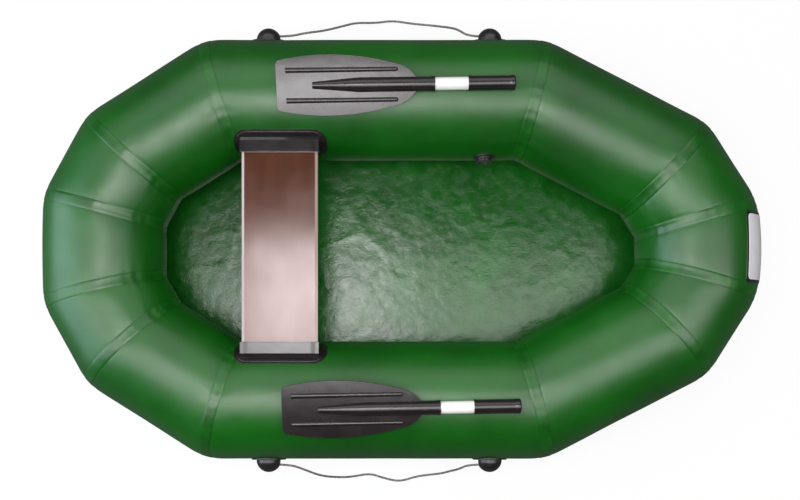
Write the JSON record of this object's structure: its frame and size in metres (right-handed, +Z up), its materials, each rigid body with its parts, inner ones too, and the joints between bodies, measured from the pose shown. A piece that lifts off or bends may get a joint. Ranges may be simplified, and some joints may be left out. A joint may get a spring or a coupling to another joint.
{
  "type": "inflatable rowing boat",
  "caption": "Small inflatable rowing boat: a mitred ring of tube panels, a fabric floor, a cross seat, rope holders with slack lifelines, valves and loose hand paddles.",
  "frame": {"origin": "on the ground, under the middle of the boat's bounding box", "axes": "+X towards the bow, +Y to port, +Z up"},
  "size_m": [1.9019, 1.3284, 0.3544],
  "materials": {
    "boat_fabric": "glossy coated fabric",
    "seam_tape": "glossy coated fabric",
    "floor_fabric": "creased coated fabric",
    "film_faced_plywood": "smooth dark film, bare bevelled edges",
    "seat_rubber": "satin",
    "rope_holder_rubber": "satin",
    "valve_plastic": "moulded",
    "rope": "braided",
    "patch_black": "glossy print",
    "patch_white": "glossy print",
    "blade_plastic": "moulded",
    "shaft_tube": "glossy"
  },
  "bodies": {
    "hull": {"tube_bow_end": "boat_fabric", "tube_bow_quarter_port": "boat_fabric", "tube_bow_shoulder_port": "boat_fabric", "tube_side_port": "boat_fabric", "tube_stern_shoulder_port": "boat_fabric", "tube_stern_quarter_port": "boat_fabric", "tube_stern_end": "boat_fabric", "tube_stern_quarter_starboard": "boat_fabric", "tube_stern_shoulder_starboard": "boat_fabric", "tube_side_starboard": "boat_fabric", "tube_bow_shoulder_starboard": "boat_fabric", "tube_bow_quarter_starboard": "boat_fabric", "seam_tape_bow_end_port": "seam_tape", "seam_tape_bow_quarter_port": "seam_tape", "seam_tape_bow_shoulder_port": "seam_tape", "seam_tape_stern_shoulder_port": "seam_tape", "seam_tape_stern_quarter_port": "seam_tape", "seam_tape_stern_end_port": "seam_tape", "seam_tape_bow_end_starboard": "seam_tape", "seam_tape_bow_quarter_starboard": "seam_tape", "seam_tape_bow_shoulder_starboard": "seam_tape", "seam_tape_stern_shoulder_starboard": "seam_tape", "seam_tape_stern_quarter_starboard": "seam_tape", "seam_tape_stern_end_starboard": "seam_tape", "floor_sheet": "floor_fabric", "seat_board": "film_faced_plywood", "seat_pad_port": "seat_rubber", "seat_pad_starboard": "seat_rubber", "seat_holder_port": "seat_rubber", "seat_holder_starboard": "seat_rubber", "rope_holder_aft_port": "rope_holder_rubber", "rope_holder_aft_starboard": "rope_holder_rubber", "rope_holder_fore_port": "rope_holder_rubber", "rope_holder_fore_starboard": "rope_holder_rubber", "valve_base_port": "valve_plastic", "valve_base_starboard": "valve_plastic", "valve_cap_port": "valve_plastic", "valve_cap_starboard": "valve_plastic", "bow_patch_border": "patch_black", "bow_patch_face": "patch_white", "lifeline_port": "rope", "lifeline_starboard": "rope"},
    "paddle_port": {"paddle_blade_port": "blade_plastic", "paddle_shaft_port": "shaft_tube", "paddle_grip_port": "blade_plastic"},
    "paddle_starboard": {"paddle_blade_starboard": "blade_plastic", "paddle_shaft_starboard": "shaft_tube", "paddle_grip_starboard": "blade_plastic"}
  },
  "joints": [
    {"name": "lift_paddle_port", "type": "slide", "parent": "hull", "child": "paddle_port", "axis": [0, 0, 1], "range_m": [0, 0.3]},
    {"name": "lift_paddle_starboard", "type": "slide", "parent": "hull", "child": "paddle_starboard", "axis": [0, 0, 1], "range_m": [0, 0.3]}
  ]
}
